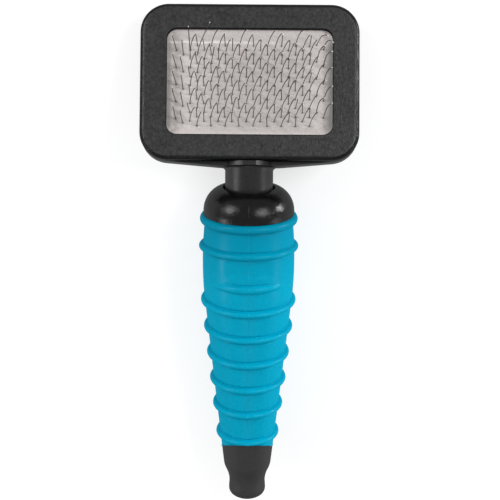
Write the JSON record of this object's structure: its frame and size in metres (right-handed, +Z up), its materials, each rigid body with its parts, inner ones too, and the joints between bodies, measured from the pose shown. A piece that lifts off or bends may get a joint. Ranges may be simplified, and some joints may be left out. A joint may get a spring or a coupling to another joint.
{
  "type": "slicker brush",
  "caption": "Hand-held slicker brush: a rounded rectangular head with bent wire pins in a soft pad, a short neck, and a tapered handle in ringed turquoise rubber.",
  "frame": {"origin": "middle of the brush's box, on the surface that it lies on", "axes": "+Y from the tail to the top of the head, +Z up, the way the pins stand, +X to the right as seen from the pins' side with the head up"},
  "size_m": [0.0734, 0.1776, 0.0348],
  "materials": {
    "head_plastic": "satin, fine grain",
    "bezel_plastic": "matt, fine grain",
    "collar_plastic": "gloss",
    "tail_plastic": "matt",
    "grip_rubber": "satin",
    "pad_rubber": "matt",
    "pad_cloth": "woven",
    "pin_wire": "drawn wire with polished tips",
    "pad_foam": "open foam"
  },
  "bodies": {
    "root": {"head_shell": "head_plastic", "bezel_frame": "bezel_plastic", "pad_border": "pad_rubber", "pad_foam": "pad_foam", "handle_core": "collar_plastic", "grip_sleeve": "grip_rubber", "tail_cap": "tail_plastic"},
    "pin_pad": {"pin_card": "pad_rubber", "card_backing": "pad_cloth"}
  },
  "joints": [
    {"name": "pad_press", "type": "slide", "parent": "root", "child": "pin_pad", "axis": [0, 0.3307, 0.9437], "range_m": [-0.0015, 0], "stiffness_N_per_m": 5000, "springref_m": 0.0004, "deforming": ["pad_foam"]}
  ]
}
